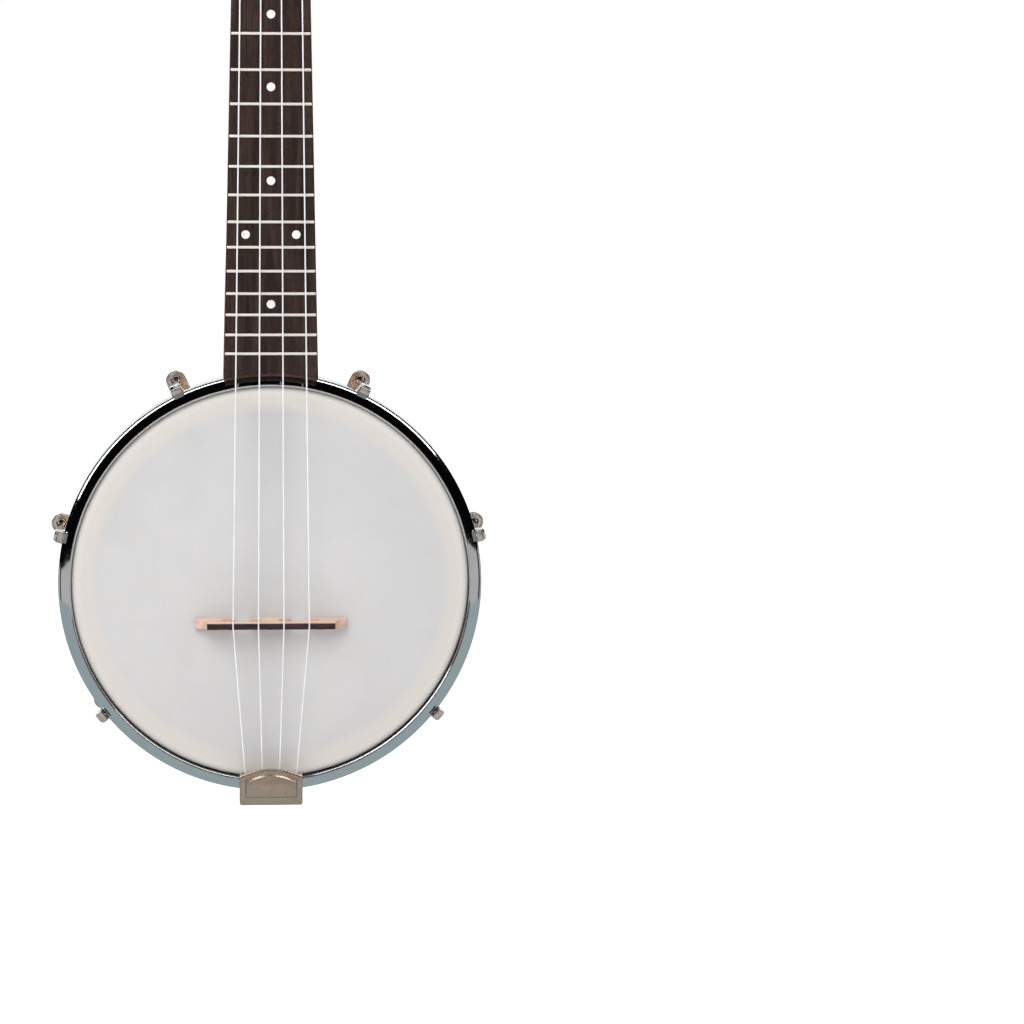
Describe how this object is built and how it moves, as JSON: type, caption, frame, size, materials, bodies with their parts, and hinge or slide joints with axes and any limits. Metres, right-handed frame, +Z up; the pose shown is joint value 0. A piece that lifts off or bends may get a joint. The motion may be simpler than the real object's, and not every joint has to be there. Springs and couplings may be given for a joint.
{
  "type": "banjo ukulele",
  "caption": "Open-back banjo ukulele with a frosted drum head, plated tension hoop, hooked brackets, dowel stick, long dark fretboard and geared tuners.",
  "frame": {"origin": "inside the headstock just above the string nut, where the arms of a wall hanger hold it", "axes": "+Z up the neck from pot to headstock, -Y the way the drum head faces, +X to the right seen from the front"},
  "size_m": [0.2256, 0.0757, 0.6666],
  "materials": {
    "rim_maple": "satin lacquer over pale laminated maple",
    "frosted_film": "frosted polyester film",
    "alloy": "plain rolled alloy",
    "hoop_chrome": "polished chrome plate",
    "hardware_nickel": "bright nickel plate",
    "neck_wood": "satin lacquer over brown hardwood",
    "fretboard_wood": "oiled dark hardwood",
    "bone": "polished bone substitute",
    "dowel_wood": "satin lacquer over orange-brown hardwood with dark pores",
    "bridge_wood": "bare pale maple",
    "satin_nickel": "satin nickel plate",
    "nylon": "clear nylon"
  },
  "bodies": {
    "root": {"rim": "rim_maple", "drum_head": "frosted_film", "flesh_hoop": "alloy", "tension_hoop": "hoop_chrome", "bracket_1": "hardware_nickel", "bracket_2": "hardware_nickel", "bracket_3": "hardware_nickel", "bracket_4": "hardware_nickel", "bracket_5": "hardware_nickel", "bracket_6": "hardware_nickel", "bracket_7": "hardware_nickel", "hook_1": "hardware_nickel", "hook_2": "hardware_nickel", "hook_3": "hardware_nickel", "hook_4": "hardware_nickel", "hook_5": "hardware_nickel", "hook_6": "hardware_nickel", "hook_7": "hardware_nickel", "hook_nut_1": "hardware_nickel", "hook_nut_2": "hardware_nickel", "hook_nut_3": "hardware_nickel", "hook_nut_4": "hardware_nickel", "hook_nut_5": "hardware_nickel", "hook_nut_6": "hardware_nickel", "hook_nut_7": "hardware_nickel", "neck": "neck_wood", "fretboard": "fretboard_wood", "string_nut": "bone", "dowel_stick": "dowel_wood", "tail_screw": "hardware_nickel", "bridge": "bridge_wood", "bridge_cap": "fretboard_wood", "tailpiece_base": "satin_nickel", "tailpiece_hinge_pin": "hardware_nickel", "string_g": "nylon", "string_c": "nylon", "string_e": "nylon", "string_a": "nylon", "tuner_housing_g": "hoop_chrome", "tuner_housing_c": "hoop_chrome", "tuner_housing_e": "hoop_chrome", "tuner_housing_a": "hoop_chrome", "tuner_bushing_g": "hoop_chrome", "tuner_bushing_c": "hoop_chrome", "tuner_bushing_e": "hoop_chrome", "tuner_bushing_a": "hoop_chrome"},
    "tailpiece_cover": {"tailpiece_cover": "satin_nickel"},
    "key_g": {"tuner_key_g": "hoop_chrome", "key_button_g": "hoop_chrome"},
    "key_c": {"tuner_key_c": "hoop_chrome", "key_button_c": "hoop_chrome"},
    "key_e": {"tuner_key_e": "hoop_chrome", "key_button_e": "hoop_chrome"},
    "key_a": {"tuner_key_a": "hoop_chrome", "key_button_a": "hoop_chrome"},
    "post_g": {"tuner_post_g": "hoop_chrome"},
    "post_c": {"tuner_post_c": "hoop_chrome"},
    "post_e": {"tuner_post_e": "hoop_chrome"},
    "post_a": {"tuner_post_a": "hoop_chrome"}
  },
  "joints": [
    {"name": "tailpiece_cover_hinge", "type": "hinge", "parent": "root", "child": "tailpiece_cover", "pos_m": [0, -0.01828, -0.5197], "axis": [1, 0, 0], "range_deg": [0, 90]},
    {"name": "key_turn_g", "type": "hinge", "parent": "root", "child": "key_g", "pos_m": [-0.0345, 0.01792, 0.02199], "axis": [1, 0, 0], "continuous": true},
    {"name": "key_turn_c", "type": "hinge", "parent": "root", "child": "key_c", "pos_m": [-0.0345, 0.0279, 0.06894], "axis": [1, 0, 0], "continuous": true},
    {"name": "key_turn_e", "type": "hinge", "parent": "root", "child": "key_e", "pos_m": [0.0345, 0.0279, 0.06894], "axis": [1, 0, 0], "continuous": true},
    {"name": "key_turn_a", "type": "hinge", "parent": "root", "child": "key_a", "pos_m": [0.0345, 0.01792, 0.02199], "axis": [1, 0, 0], "continuous": true},
    {"name": "post_turn_g", "type": "hinge", "parent": "root", "child": "post_g", "pos_m": [-0.0195, 0, 0.03295], "axis": [0, -0.9781, 0.2079], "continuous": true},
    {"name": "post_turn_c", "type": "hinge", "parent": "root", "child": "post_c", "pos_m": [-0.0195, 0.00998, 0.0799], "axis": [0, -0.9781, 0.2079], "continuous": true},
    {"name": "post_turn_e", "type": "hinge", "parent": "root", "child": "post_e", "pos_m": [0.0195, 0.00998, 0.0799], "axis": [0, -0.9781, 0.2079], "continuous": true},
    {"name": "post_turn_a", "type": "hinge", "parent": "root", "child": "post_a", "pos_m": [0.0195, 0, 0.03295], "axis": [0, -0.9781, 0.2079], "continuous": true}
  ],
  "couplings": [
    {"joint": "post_turn_g", "follows": "key_turn_g", "ratio": 0.071429},
    {"joint": "post_turn_c", "follows": "key_turn_c", "ratio": 0.071429},
    {"joint": "post_turn_e", "follows": "key_turn_e", "ratio": -0.071429},
    {"joint": "post_turn_a", "follows": "key_turn_a", "ratio": -0.071429}
  ]
}
